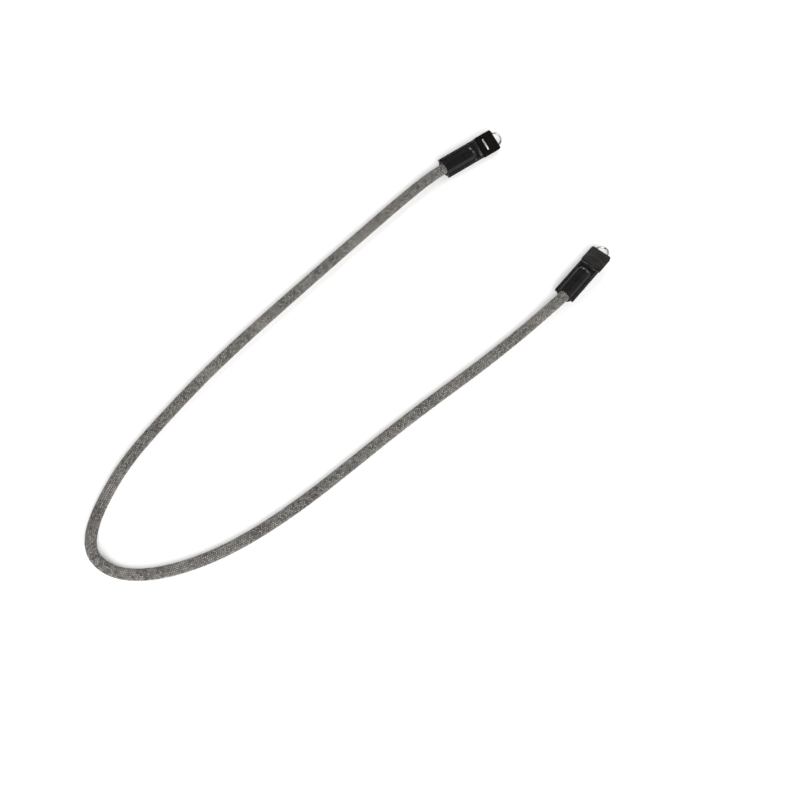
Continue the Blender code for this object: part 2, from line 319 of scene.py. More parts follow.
@dataclass(frozen=True)
class WaxedThread:
    """Bonded black polyester thread, twisted and waxed, so each stitch has a small soft glint."""

    dark: str = "#1d1c1b"
    light: str = "#3c3936"
    ply_size: float = 0.5 * MM

    def build(self) -> bpy.types.Material:
        """Make the thread's material.

        Returns:
            The material.
        """
        made, tree, shader = new_material("waxed_black_thread", {"Roughness": 0.5})
        place = add_node(tree, "ShaderNodeTexCoord").outputs["Object"]
        plies = add_node(tree, "ShaderNodeTexWave", {"Vector": place},
                         {"Scale": 0.3 / self.ply_size, "Distortion": 1.0},
                         wave_type="BANDS", bands_direction="DIAGONAL")
        tint = colour_ramp(tree, plies.outputs["Fac"], [(0.2, self.dark), (0.8, self.light)])
        tree.links.new(tint, shader.inputs["Base Color"])
        bump = add_node(tree, "ShaderNodeBump", {"Height": plies.outputs["Fac"]},
                        {"Strength": 0.5, "Distance": 0.08 * MM})
        tree.links.new(bump.outputs["Normal"], shader.inputs["Normal"])
        return made


@dataclass(frozen=True)
class StudioFloor:
    """White seamless studio paper, matt."""

    tint: str = "#f4f4f3"

    def build(self) -> bpy.types.Material:
        """Make the floor's material."""
        return new_material("studio_paper", {
            "Base Color": linear(self.tint), "Roughness": 0.95, "Specular IOR Level": 0.1})[0]


# Work at the bench: the tools of edit mode, for pieces made by hand

class Bench:
    """Modelling steps that every sub-assembly uses."""

    @staticmethod
    def only(piece: bpy.types.Object) -> None:
        """Select one piece and make it the active one.

        Args:
            piece: the piece to select.
        """
        bpy.ops.object.select_all(action="DESELECT")
        piece.select_set(True)
        bpy.context.view_layer.objects.active = piece

    @staticmethod
    def fresh(name: str) -> bpy.types.Object:
        """Take the primitive that was just added, set it in its place for good and name it.

        Args:
            name: the piece's name.

        Returns:
            The piece.
        """
        piece = bpy.context.view_layer.objects.active
        Bench.only(piece)
        bpy.ops.object.transform_apply(location=True, rotation=True, scale=True)
        piece.name = piece.data.name = name
        return piece

    @staticmethod
    def add(name: str, primitive: Callable[..., object], scale: Sequence[float] = (1, 1, 1),
            **settings: object) -> bpy.types.Object:
        """Add a primitive with nothing else selected and set it in its place for good.

        Args:
            name: the piece's name.
            primitive: the operator that adds it.
            scale: its stretch along its own axes.
            settings: the operator's settings.

        Returns:
            The piece.
        """
        bpy.ops.object.select_all(action="DESELECT")
        primitive(**settings)
        bpy.context.object.scale = scale
        return Bench.fresh(name)

    @staticmethod
    def bend(name: str, line: Sequence[Sequence[float]], radius: float, sides: int, kind: str = "POLY",
             **settings: object) -> bpy.types.Object:
        """Bend a rod along a line with the curve tools and make it a mesh.

        Args:
            name: the piece's name.
            line: the points of its centre line.
            radius: the rod's radius.
            sides: flats round the rod, a multiple of four.
            kind: the spline's type.
            settings: the spline's properties.

        Returns:
            The piece.
        """
        bpy.ops.object.select_all(action="DESELECT")
        bpy.ops.curve.primitive_nurbs_path_add()
        piece = bpy.context.object
        curve = piece.data
        curve.splines.clear()
        spline = curve.splines.new(kind)
        spline.points.add(len(line) - 1)
        for knot, point in zip(spline.points, line):
            knot.co = (*point, 1.0)
        for setting, value in settings.items():
            setattr(spline, setting, value)
        curve.bevel_depth = radius
        curve.bevel_resolution = sides // 4 - 1
        curve.use_fill_caps = True
        Bench.only(piece)
        bpy.ops.object.convert(target="MESH")
        return Bench.fresh(name)

    @staticmethod
    def box(name: str, low: Sequence[float], high: Sequence[float]) -> bpy.types.Object:
        """Add a box between two corners.

        Args:
            name: the piece's name.
            low: its lowest corner.
            high: its highest corner.

        Returns:
            The box.
        """
        low, high = Vector(low), Vector(high)
        return Bench.add(name, bpy.ops.mesh.primitive_cube_add, high - low, size=1.0,
                         location=(low + high) / 2)

    @staticmethod
    def edit(piece: bpy.types.Object, mode: str = "VERT") -> None:
        """Open a piece in edit mode with nothing selected.

        Args:
            piece: the piece to open.
            mode: what is selected there, VERT, EDGE or FACE.
        """
        Bench.only(piece)
        bpy.ops.object.mode_set(mode="EDIT")
        bpy.ops.mesh.select_mode(type=mode)
        bpy.ops.mesh.select_all(action="DESELECT")

    @staticmethod
    def pick(piece: bpy.types.Object, what: str, test: Callable[[Vector], bool]) -> None:
        """Select the vertices, edges or faces whose middle passes a test.

        Args:
            piece: the piece that is open in edit mode.
            what: verts, edges or faces.
            test: says whether a place belongs to the selection.
        """
        shape = bmesh.from_edit_mesh(piece.data)
        for part in getattr(shape, what):
            ends = [part] if what == "verts" else part.verts
            part.select_set(bool(test(sum((end.co for end in ends), Vector()) / len(ends))))
        bmesh.update_edit_mesh(piece.data)

    @staticmethod
    def close() -> None:
        """Leave edit mode."""
        bpy.ops.object.mode_set(mode="OBJECT")

    @staticmethod
    def apply(piece: bpy.types.Object, kind: str, **settings: object) -> None:
        """Add a modifier, set it up and apply it.

        Args:
            piece: the piece to change.
            kind: the modifier's type.
            settings: the modifier's properties.
        """
        step = piece.modifiers.new(kind.title(), kind)
        for name, value in settings.items():
            setattr(step, name, value)
        Bench.only(piece)
        bpy.ops.object.modifier_apply(modifier=step.name)

    @staticmethod
    def cut(piece: bpy.types.Object, *cutters: bpy.types.Object) -> None:
        """Cut a piece by others, which are then thrown away.

        Args:
            piece: the piece to cut.
            cutters: closed pieces in the shape of what is cut away.
        """
        for cutter in cutters:
            Bench.apply(piece, "BOOLEAN", operation="DIFFERENCE", object=cutter, solver="EXACT")
            bpy.data.objects.remove(cutter, do_unlink=True)

    @staticmethod
    def join(name: str, pieces: Sequence[bpy.types.Object]) -> bpy.types.Object:
        """Make several pieces one mesh object.

        Args:
            name: the joined piece's name.
            pieces: the pieces, of which the first keeps its materials first.

        Returns:
            The joined piece.
        """
        Bench.only(pieces[0])
        for piece in pieces[1:]:
            piece.select_set(True)
        bpy.ops.object.join()
        pieces[0].name = pieces[0].data.name = name
        return pieces[0]

    @staticmethod
    def outwards(piece: bpy.types.Object) -> None:
        """Point every face of a closed piece outwards.

        Args:
            piece: the piece to set right.
        """
        Bench.edit(piece)
        bpy.ops.mesh.select_all(action="SELECT")
        bpy.ops.mesh.normals_make_consistent(inside=False)
        Bench.close()

    @staticmethod
    def smooth(piece: bpy.types.Object, angle: float = 35.0) -> None:
        """Shade a piece smooth but for edges sharper than an angle in degrees."""
        Bench.only(piece)
        bpy.ops.object.shade_smooth_by_angle(angle=math.radians(angle))

    @staticmethod
    def twin(piece: bpy.types.Object, name: str, matrix: Matrix) -> bpy.types.Object:
        """Copy a piece with a mesh of its own, moved or mirrored by a matrix.

        Args:
            piece: the piece to copy.
            name: the copy's name.
            matrix: where the copy's mesh goes.

        Returns:
            The copy.
        """
        made = piece.copy()
        made.data = piece.data.copy()
        bpy.context.scene.collection.objects.link(made)
        made.data.transform(matrix)
        if matrix.determinant() < 0:
            made.data.flip_normals()
        made.name = made.data.name = name
        return made


def link(name: str, data: bpy.types.ID) -> bpy.types.Object:
    """Put new data in the scene as an object.

    Args:
        name: the object's name.
        data: its mesh, curve, lamp or camera data.

    Returns:
        The object.
    """
    made = bpy.data.objects.new(name, data)
    bpy.context.scene.collection.objects.link(made)
    return made


def hand_over(piece: bpy.types.Object, material: bpy.types.Material,
              nodes: Sequence[str] = ()) -> None:
    """Dress a finished piece, let it ride on the part and report it.

    Args:
        piece: the finished mesh piece.
        material: its material.
        nodes: the CAD nodes that it stands for.
    """
    piece.data.materials.clear()
    piece.data.materials.append(material)
    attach(piece, ROOT)
    if nodes:
        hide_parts(*nodes)
    triangles = sum(len(face.vertices) - 2 for face in piece.data.polygons)
    log.info("%s: %d triangles", piece.name, triangles)


def distances(line: np.ndarray) -> np.ndarray:
    """Give how far along a line each of its points is."""
    return np.concatenate(([0.0], np.cumsum(np.linalg.norm(np.diff(line, axis=0), axis=1))))


# Studio

@dataclass
class Studio:
    """The camera at the photograph's angle, the floor and the lights."""

    elevation: float = math.radians(55.0)
    aim: tuple[float, float, float] = (-0.0986, -0.1776, 0.0)
    distance: float = 1.431
    sensor: float = 36.0
    focal_pixels: float = 1900.0
    image_width: float = 800.0
    floor_size: float = 3.8
    room_tint: str = "#f7f8f9"
    room_light: float = 0.06

    def camera(self) -> None:
        """Add the scene's camera, which looks along +Y and down on the strap."""
        lens = bpy.data.cameras.new("camera")
        lens.sensor_width = self.sensor
        lens.lens = self.focal_pixels / self.image_width * self.sensor
        made = link("camera", lens)
        back = Vector((0, -math.cos(self.elevation), math.sin(self.elevation)))
        made.location = Vector(self.aim) + back * self.distance
        made.rotation_euler = (math.pi / 2 - self.elevation, 0, 0)
        bpy.context.scene.camera = made

    def floor(self, finish: StudioFloor) -> None:
        """Lay the pale floor.

        Args:
            finish: what it is made of.
        """
        made = Bench.add("studio_floor", bpy.ops.mesh.primitive_plane_add, size=self.floor_size)
        made.data.materials.append(finish.build())

    def lamp(self, name: str, direction: Sequence[float], distance: float, size: float,
             power: float) -> None:
        """Hang a soft box that faces the strap.

        Args:
            name: the lamp's name.
            direction: from the strap's middle towards the lamp.
            distance: how far off it hangs.
            size: its side.
            power: its power in watts.
        """
        light = bpy.data.lights.new(name, "AREA")
        light.shape = "SQUARE"
        light.size = size
        light.energy = power
        made = link(name, light)
        away = Vector(direction).normalized()
        made.location = Vector(self.aim) + away * distance
        made.rotation_euler = away.to_track_quat("Z", "Y").to_euler()

    def light(self) -> None:
        """Light the strap from the front, with weaker boxes on both sides and at the back."""
        self.lamp("front_box", (0.15, -0.95, 0.68), 2.4, 1.8, 106.0)
        self.lamp("left_box", (-0.9, -0.1, 0.6), 2.2, 1.0, 29.0)
        self.lamp("right_box", (0.86, 0.46, 0.3), 1.8, 0.8, 13.0)
        self.lamp("back_box", (0.28, 0.88, 0.36), 1.8, 0.5, 13.0)
        world = bpy.data.worlds.new("studio_room")
        world.use_nodes = True
        tree = world.node_tree
        room = tree.nodes["Background"]
        room.inputs["Color"].default_value = linear(self.room_tint)
        # The lens sees the pale wall in full, and the strap gets only a little light from it
        ray = add_node(tree, "ShaderNodeLightPath")
        seen = add_node(tree, "ShaderNodeMapRange", {"Value": ray.outputs["Is Camera Ray"]},
                        {"To Min": self.room_light, "To Max": 1.0})
        tree.links.new(seen.outputs["Result"], room.inputs["Strength"])
        bpy.context.scene.world = world
        bpy.context.scene.view_settings.view_transform = "Standard"


# Rope

class Hand(Enum):
    """Which way a strand winds round the rope."""

    RIGHT = 1
    LEFT = -1


@dataclass
class Rope:
    """The braided rope: a core, coloured dark as painted shade for the braid's gaps, with thousands of yarn
    floats laid on it, two over two.
    """

    diameter: float = 9.0 * MM
    grip: float = 26.0 * MM
    settle: float = 45.0 * MM
    sleeve_middle: float = 6.3 * MM
    left_mouth: tuple[float, float] = (-0.0628, 0.0490)
    left_heading: float = math.radians(37.5)
    right_mouth: tuple[float, float] = (0.0291, -0.0828)
    right_heading: float = math.radians(53.5)
    free_route: tuple[tuple[float, float], ...] = (
        (-0.0793, 0.0349), (-0.1103, 0.0019), (-0.1548, -0.0491), (-0.1988, -0.1001),
        (-0.2418, -0.1526), (-0.2808, -0.2071), (-0.3018, -0.2421), (-0.3128, -0.2691),
        (-0.3188, -0.2931), (-0.3163, -0.3146), (-0.3023, -0.3276), (-0.2823, -0.3311),
        (-0.2628, -0.3281), (-0.2438, -0.3216), (-0.2263, -0.3131), (-0.1933, -0.2911),
        (-0.1613, -0.2641), (-0.1303, -0.2346), (-0.0818, -0.1886), (-0.0318, -0.1436),
        (0.0167, -0.0960),
    )
    columns: int = 18
    braid_angle: float = math.radians(43.0)
    core_radius: float = 4.0 * MM
    hidden_braid: float = 5.0 * MM
    # A float reaches under its neighbours, so it is longer than its cell, and a little narrower
    float_reach: float = 1.34
    float_spread: float = 0.86
    float_height: float = 0.62 * MM
    float_dip: float = 0.38 * MM
    tone_spread: float = 0.29
    length: float = 0.950
    spline_steps: int = 24
    core_sides: int = 24

    def centre_line(self) -> np.ndarray:
        """Read the rope's centre line closely from the route.

        Returns:
            Points from inside the left sleeve to inside the right one.
        """
        ends = []
        for mouth, heading in ((self.left_mouth, self.left_heading),
                               (self.right_mouth, self.right_heading)):
            start, grip = np.array(mouth), self.grip * np.array((math.cos(heading), math.sin(heading)))
            # The knot half way in keeps the rope straight in its bore
            ends.append((start + grip, start + grip / 2, start))
        knots = np.array([*ends[0], *self.free_route, *reversed(ends[1])])
        chord = np.linalg.norm(np.diff(knots, axis=0), axis=1)
        count = len(knots)
        system, right_side = np.eye(count), np.zeros((count, 2))
        for i in range(1, count - 1):
            before, after = chord[i - 1], chord[i]
            system[i, i - 1:i + 2] = before, 2 * (before + after), after
            right_side[i] = 6 * ((knots[i + 1] - knots[i]) / after - (knots[i] - knots[i - 1]) / before)
        bend = np.linalg.solve(system, right_side)
        flat = []
        for i, span in enumerate(chord):
            for b in np.arange(self.spline_steps) / self.spline_steps:
                a = 1 - b
                pull = ((a ** 3 - a) * bend[i] + (b ** 3 - b) * bend[i + 1]) * span * span / 6
                flat.append(a * knots[i] + b * knots[i + 1] + pull)
        flat = np.array([*flat, knots[-1]])
        run = distances(flat)
        outside = np.clip((np.minimum(run, run[-1] - run) - self.grip) / self.settle, 0, 1)
        eased = outside * outside * (3 - 2 * outside)
        height = self.sleeve_middle + (self.diameter / 2 - self.sleeve_middle) * eased
        return np.column_stack((flat, height))

    def core(self, line: np.ndarray) -> bpy.types.Object:
        """Make the core as a tube along the centre line, a curve that can still be measured.

        Args:
            line: the centre line.

        Returns:
            The core's curve.
        """
        curve = bpy.data.curves.new("rope_core", "CURVE")
        curve.dimensions = "3D"
        curve.bevel_depth = self.core_radius
        curve.bevel_resolution = self.core_sides // 4 - 1
        curve.use_fill_caps = True
        spline = curve.splines.new("POLY")
        spline.points.add(len(line) - 1)
        for knot, point in zip(spline.points, line):
            knot.co = (*point, 1.0)
        return link("rope_core", curve)

    def grain(self) -> tuple[np.ndarray, np.ndarray]:
        """Model one float by hand: a plump grain with its poles at its ends and a flat underside.

        Returns:
            Its points, each from -1 to 1 along, across and up, and its triangles.
        """
        piece = Bench.add("float_model", bpy.ops.mesh.primitive_uv_sphere_add, segments=8, ring_count=4,
                          radius=1.0, rotation=(0, math.pi / 2, 0))
        Bench.edit(piece)
        for end in (-1, 1):
            # Shoulders further out make the grain plumper than an egg
            Bench.pick(piece, "verts", lambda co, end=end: 0.3 < co.x * end < 0.95)
            bpy.ops.transform.translate(value=(-0.09 * end, 0, 0))
            bpy.ops.transform.resize(value=(1, 1.14, 1.14), center_override=(0, 0, 0))
        for station in (-0.62, 0.0, 0.62):
            # The underside rests on the core and is never seen, so its points are merged
            Bench.pick(piece, "verts", lambda co, x=station: abs(co.x - x) < 0.2 and co.z < -0.2)
            bpy.ops.mesh.merge(type="CENTER")
        bpy.ops.mesh.select_all(action="SELECT")
        bpy.ops.mesh.quads_convert_to_tris()
        bpy.ops.mesh.normals_make_consistent(inside=False)
        Bench.close()
        points = np.array([vertex.co for vertex in piece.data.vertices])
        faces = np.array([face.vertices for face in piece.data.polygons])
        bpy.data.objects.remove(piece, do_unlink=True)
        return points, faces

    def braid(self, line: np.ndarray, hand: Hand, share: tuple[float, float], name: str,
              rng: np.random.Generator) -> bpy.types.Object:
        """Lay the floats that wind one way along a share of the rope, as one mesh.

        Args:
            line: the rope's centre line.
            hand: which way these strands wind.
            share: the stretch of the rope that is covered, from 0 to 1.
            name: the piece's name.
            rng: the source of small irregularities.

        Returns:
            The piece.
        """
        points, faces = self.grain()
        radius = self.diameter / 2
        run = distances(line)
        tangent = np.gradient(line, run, axis=0)
        tangent /= np.linalg.norm(tangent, axis=1)[:, None]
        side = np.cross((0.0, 0.0, 1.0), tangent)
        side /= np.linalg.norm(side, axis=1)[:, None]
        up = np.cross(tangent, side)

        across = 2 * math.pi * radius / self.columns
        pitch = across / math.tan(self.braid_angle)
        first, last = self.grip - self.hidden_braid, run[-1] - self.grip + self.hidden_braid
        start, stop = (first + (last - first) * s for s in share)
        rows = np.arange(math.ceil((start - first) / pitch), math.ceil((stop - first) / pitch))
        offset = 0.0 if hand is Hand.RIGHT else 0.5
        column = np.arange(0 if hand is Hand.RIGHT else 1, self.columns, 2)
        at, round_by = (g.ravel() for g in np.meshgrid(first + (rows + offset) * pitch, column))
        many = len(at)

        angle = self.braid_angle + rng.normal(0, 0.02, many)
        slant = math.sin(self.braid_angle)
        half_length = self.float_reach * across / 2 / slant * (1 + rng.normal(0, 0.03, many))
        half_width = self.float_spread * pitch / 2 * slant * (1 + rng.normal(0, 0.04, many))
        lift = rng.normal(0, 0.03 * MM, many)
        sway = 0.5 * np.sin(at / 0.061) + 0.35 * np.sin(at / 0.023 + 1.0)

        x, y, z = points[:, 0][None], points[:, 1][None], points[:, 2][None]
        sign = hand.value
        cosine, sine = np.cos(angle), np.sin(angle)
        along = x * (half_length * cosine)[:, None] - sign * y * (half_width * sine)[:, None]
        round_ = sign * x * (half_length * sine)[:, None] + y * (half_width * cosine)[:, None]
        crown = radius + self.float_height * (z - 1) - self.float_dip * x * x + lift[:, None]
        placed_at = at[:, None] + along
        turn = 2 * math.pi * (round_by / self.columns)[:, None] + round_ / radius + sway[:, None] * 0.25
        reads = [[np.interp(placed_at, run, field[:, k]) for k in range(3)] for field in (line, side, up)]
        centre, sideways, upwards = (np.stack(read, axis=-1) for read in reads)
        placed = centre + crown[..., None] * (np.cos(turn)[..., None] * sideways
                                              + np.sin(turn)[..., None] * upwards)

        corners = (faces[None] + (np.arange(many) * len(points))[:, None, None]).reshape(-1, 3)
        mesh = bpy.data.meshes.new(name)
        mesh.from_pydata(placed.reshape(-1, 3).tolist(), [], corners.tolist())
        mesh.polygons.foreach_set("use_smooth", np.ones(len(corners), bool))
        tone = np.repeat(np.clip(rng.normal(0.5, self.tone_spread, many), 0, 1), len(points))
        # Painted shade factor for each point: 1 on the float's crown, less towards its sides and ends
        depth = np.tile(np.clip(0.5 + 0.5 * points[:, 2] - 0.45 * points[:, 0] ** 2, 0, 1), many)
        for title, values in (("yarn_tone", tone), ("yarn_painted_shade", depth)):
            field = mesh.attributes.new(title, "FLOAT", "POINT")
            field.data.foreach_set("value", values.astype(np.float32))
        lay = np.tile(np.column_stack(((points[:, 0] + 1) / 2, (points[:, 1] + 1) / 2)), (many, 1))
        lay += np.repeat(rng.random((many, 2)), len(points), axis=0)
        lay = lay[corners.ravel()].astype(np.float32)
        mesh.uv_layers.new(name="float").data.foreach_set("uv", lay.ravel())
        return link(name, mesh)

    def build(self) -> None:
        line = self.centre_line()
        rng = np.random.default_rng(7)
        core = self.core(line)
        core.data.materials.append(RopeCore().build())
        yarn = BraidYarn().build()
        floats = []
        for hand in Hand:
            for part, share in (("upper", (0.0, 0.5)), ("lower", (0.5, 1.0))):
                name = f"rope_braid_{hand.name.lower()}_{part}"
                floats.append(self.braid(line, hand, share, name, rng))
        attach(core, ROOT)
        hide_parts("rope")
        log.info("rope_core: a tube %.3f m long", distances(line)[-1])
        for piece in floats:
            hand_over(piece, yarn)


# End fittings

class End(Enum):
    """The strap's two ends."""

    LEFT = "left"
    RIGHT = "right"


@dataclass
class Fitting:
    """One end of the strap: a sleeve, a guard pad and a ring, modelled in a frame of its own.

    In that frame +X runs out of the sleeve's mouth towards the ring, and z = 0 is the floor.
    """

    end: End
    mouth: tuple[float, float]
    heading: float
    roll: float
    middle: float = 6.3 * MM

    # Sleeve
    bore_radius: float = 4.8 * MM
    bulge_radius: float = 6.3 * MM
    half_width: float = 8.5 * MM
    leather: float = 1.5 * MM
    dome_start: float = 26.3 * MM
    dome_length: float = 5.5 * MM
    sleeve_length: float = 36.8 * MM
    tongue_rise: float = 2.1 * MM
    ridge_rise: float = 3.3 * MM
    ridge_length: float = 3.6 * MM
    tongue_start: float = 28.5 * MM
    tongue_inset: float = 0.4 * MM
    seam_gap: float = 0.05 * MM
    seam_depth: float = 0.3 * MM
    seam_inset: float = 0.18 * MM
    slot_depth: float = 5.8 * MM
    slot_room: float = 0.3 * MM
    overrun: float = 2.0 * MM
    cell: float = 0.22 * MM

    # Guard pad
    pad_back: float = 37.1 * MM
    pad_front: float = 53.8 * MM
    pad_width: float = 18.0 * MM
    pad_front_corner: float = 1.8 * MM
    pad_back_corner: float = 1.2 * MM
    pad_thickness: float = 4.3 * MM
    pad_rounding: float = 0.75 * MM
    swell: float = 0.14 * MM
    swell_inset: float = 2.6 * MM
    tab_width: float = 10.5 * MM
    tab_thickness: float = 1.8 * MM
    tab_reach: float = 5.5 * MM
    voxel: float = 0.2 * MM

    # Ring
    wire_radius: float = 0.85 * MM
    channel_radius: float = 1.15 * MM
    bar_x: float = 42.9 * MM
    bar_raise: float = 1.9 * MM
    leg_y: float = 5.4 * MM
    ring_reach: float = 16.4 * MM
    ring_corner: float = 1.7 * MM
    corner_steps: int = 10
    window_room: float = 0.15 * MM
    mark_radius: float = 0.8 * MM
    mark_rise: float = 0.1 * MM

    # Stitching
    stitch_pitch: float = 2.3 * MM
    stitch_inset: float = 1.2 * MM
    groove_reach: float = 0.3 * MM
    groove_depth: float = 0.22 * MM
    thread_rise: float = 0.05 * MM

    def place(self) -> Matrix:
        """Roll the fitting on the rope's axis, turn it and move it to its mouth.

        Returns:
            The matrix from the fitting's own frame to the part's.
        """
        to_middle = Matrix.Translation((0, 0, self.middle))
        rolled = to_middle @ Matrix.Rotation(self.roll, 4, "X") @ to_middle.inverted()
        return Matrix.Translation((*self.mouth, 0)) @ Matrix.Rotation(self.heading, 4, "Z") @ rolled

    def name(self, piece: str) -> str:
        """Name a piece of this fitting."""
        return f"{self.end.value}_{piece}"

    # Sleeve

    def rod(self, name: str, radius: float, sides: int) -> bpy.types.Object:
        """Make a rod on the rope's axis, from before the mouth to the start of the dome.

        Args:
            name: the piece's name.
            radius: the rod's radius.
            sides: flats round the rod.

        Returns:
            The rod.
        """
        return Bench.add(
            name, bpy.ops.mesh.primitive_cylinder_add, vertices=sides, radius=radius,
            depth=self.dome_start + self.overrun, rotation=(0, math.pi / 2, 0),
            location=((self.dome_start - self.overrun) / 2, 0, self.middle))

    def former(self) -> bpy.types.Object:
        """Build the former that the wet leather is moulded over: rope end, sewn edges and tongue.

        Returns:
            The former, of pieces that overlap.
        """
        rod = self.rod("former_rod", self.bulge_radius, 128)
        dome = Bench.add("former_dome", bpy.ops.mesh.primitive_uv_sphere_add,
                         (self.dome_length / self.bulge_radius, 1, 1), segments=96, ring_count=64,
                         radius=self.bulge_radius, location=(self.dome_start, 0, self.middle))
        slab = Bench.box("former_slab", (0, -self.half_width, self.middle - self.leather),
                         (self.sleeve_length, self.half_width, self.middle + self.leather))
        half = self.half_width - self.tongue_inset
        tongue = Bench.box("former_tongue", (self.tongue_start, -half, self.middle - self.leather),
                           (self.sleeve_length, half, self.middle + self.tongue_rise))
        for block, top, rounding in ((slab, self.leather, 0.45 * MM), (tongue, self.tongue_rise, 0.9 * MM)):
            # Only the upper edges are rounded, so that the leather's corners still find the former
            Bench.edit(block, "EDGE")
            Bench.pick(block, "edges", lambda co, top=top: co.z > self.middle + top - 0.01 * MM)
            bpy.ops.mesh.bevel(offset=rounding, segments=6, affect="EDGES")
            Bench.close()
        # The leather's turned end stands up in a ridge, highest in the middle
        ridge = Bench.add("former_ridge", bpy.ops.mesh.primitive_uv_sphere_add,
                          (self.ridge_length / 2, 1.12 * self.half_width, self.ridge_rise),
                          segments=64, ring_count=48, radius=1.0,
                          location=(self.sleeve_length - self.ridge_length / 2, 0, self.middle))
        return Bench.join("former", [rod, dome, slab, tongue, ridge])

    def sleeve_layer(self) -> bpy.types.Object:
        """Mould the upper layer of the sleeve over the former and close it down to the seam.

        Returns:
            The layer, closed below.
        """
        former = self.former()
        hair = 0.04 * MM
        layer = Bench.add(
            self.name("sleeve_upper"), bpy.ops.mesh.primitive_grid_add,
            (self.sleeve_length - hair, 2 * self.half_width - hair, 1),
            x_subdivisions=round(self.sleeve_length / self.cell),
            y_subdivisions=round(2 * self.half_width / self.cell), size=1.0,
            location=(self.sleeve_length / 2, 0, self.middle + 3 * self.bulge_radius))
        Bench.apply(layer, "SHRINKWRAP", target=former, wrap_method="PROJECT", use_project_z=True,
                    use_negative_direction=True, use_positive_direction=False)
        bpy.data.objects.remove(former, do_unlink=True)

        # The stitch groove is pressed into the edges and across the tongue
        Bench.edit(layer)
        line_y, line_x = self.half_width - self.stitch_inset, self.sleeve_length - self.stitch_inset
        reach = self.groove_reach

        def in_groove(co: Vector) -> bool:
            """Say whether a place lies in the stitch groove.

            Args:
                co: the place.

            Returns:
                True beside the long seams or across the tongue.
            """
            beside = abs(abs(co.y) - line_y) < reach and co.x < line_x + reach
            behind = abs(co.x - line_x) < reach and abs(co.y) < line_y + reach
            return beside or behind

        Bench.pick(layer, "verts", in_groove)
        bpy.ops.transform.translate(value=(0, 0, -self.groove_depth))
        Bench.close()
        Bench.apply(layer, "SMOOTH", factor=0.5, iterations=7, use_x=False, use_y=False)

        # The rim goes down to the seam, where a small groove parts the two layers
        Bench.edit(layer)
        bpy.ops.mesh.select_all(action="SELECT")
        bpy.ops.mesh.region_to_loop()
        middle = Vector((self.sleeve_length / 2, 0, self.middle + self.seam_depth))
        bpy.ops.mesh.extrude_region_move()
        bpy.ops.transform.resize(value=(1, 1, 0), center_override=middle)
        down = (0, 0, self.seam_gap - self.seam_depth)
        bpy.ops.mesh.extrude_region_move(TRANSFORM_OT_translate={"value": down})
        narrowed = (1 - 2 * self.seam_inset / self.sleeve_length, 1 - self.seam_inset / self.half_width, 1)
        bpy.ops.transform.resize(value=narrowed, center_override=middle)
        bpy.ops.mesh.edge_face_add()
        Bench.close()
        Bench.outwards(layer)
        return layer

    def sleeve(self) -> list[bpy.types.Object]:
        """Make both layers of the sleeve, with the rope's bore and the tab's slot cut in.

        Returns:
            The upper and the lower layer.
        """
        layer = self.sleeve_layer()
        half, high = self.tab_width / 2 + self.slot_room, self.tab_thickness / 2 + self.slot_room
        slot = Bench.box("slot", (self.sleeve_length - self.slot_depth, -half, self.middle - high),
                         (self.sleeve_length + self.overrun, half, self.middle + high))
        Bench.cut(layer, self.rod("bore", self.bore_radius, 96), slot)
        Bench.smooth(layer)
        mirror = Matrix.Translation((0, 0, self.middle)) @ Matrix.Scale(-1, 4, (0, 0, 1)) \
            @ Matrix.Translation((0, 0, -self.middle))
        return [layer, Bench.twin(layer, self.name("sleeve_lower"), mirror)]

    # Ring

    def ring_line(self) -> list[Vector]:
        """Give the ring's centre line: a raised straight bar, level legs and a bow.

        Returns:
            The points, once round.
        """
        bend, steps = self.ring_corner, self.corner_steps
        inner = self.leg_y - bend
        corner = []
        for step in range(steps + 1):
            turn = math.pi / 2 * step / steps
            corner.append((bend * (1 - math.cos(turn)), inner + bend * math.sin(turn),
                           self.bar_raise * math.cos(turn) ** 2))
        bow = []
        for step in range(4 * steps + 1):
            turn = math.pi * step / (4 * steps)
            bow.append((self.ring_reach - self.leg_y + self.leg_y * math.sin(turn),
                        self.leg_y * math.cos(turn), 0.0))
        back = [(x, -y, z) for x, y, z in reversed(corner)]
        return [Vector((self.bar_x + x, y, self.middle + z)) for x, y, z in corner + bow + back]

    def wire(self, name: str, radius: float, sides: int) -> bpy.types.Object:
        """Bend a closed wire along the ring's line.

        Args:
            name: the piece's name.
            radius: the wire's radius.
            sides: flats round the wire, a multiple of four.

        Returns:
            The wire.
        """
        made = Bench.bend(name, self.ring_line(), radius, sides, use_cyclic_u=True)
        Bench.outwards(made)
        return made

    # Guard pad

    def pad(self) -> bpy.types.Object:
        """Make the guard pad, one solid block in place of two sewn layers, with its tab, before the ring's
        channel is cut.

        Returns:
            The pad.
        """
        half = self.pad_width / 2
        low, high = self.middle - self.pad_thickness / 2, self.middle + self.pad_thickness / 2
        pad = Bench.box(self.name("guard_pad"), (self.pad_back, -half, low), (self.pad_front, half, high))
        near = 0.1 * MM
        Bench.edit(pad, "EDGE")
        for x, corner in ((self.pad_front, self.pad_front_corner), (self.pad_back, self.pad_back_corner)):
            Bench.pick(pad, "edges", lambda co, x=x: max(abs(co.x - x), abs(co.z - self.middle)) < near)
            bpy.ops.mesh.bevel(offset=corner, segments=8, affect="EDGES")
        Bench.close()
        Bench.apply(pad, "BEVEL", width=self.pad_rounding, segments=5, limit_method="ANGLE",
                    angle_limit=math.radians(60))
        for face, level in ((1, high), (-1, low)):
            # Each face swells a little towards its middle, where the ring pushes the layers apart
            Bench.edit(pad, "FACE")
            Bench.pick(pad, "faces", lambda co, level=level: abs(co.z - level) < 0.01 * MM)
            bpy.ops.mesh.inset(thickness=self.swell_inset)
            bpy.ops.transform.translate(value=(0, 0, self.swell * face))
            Bench.close()

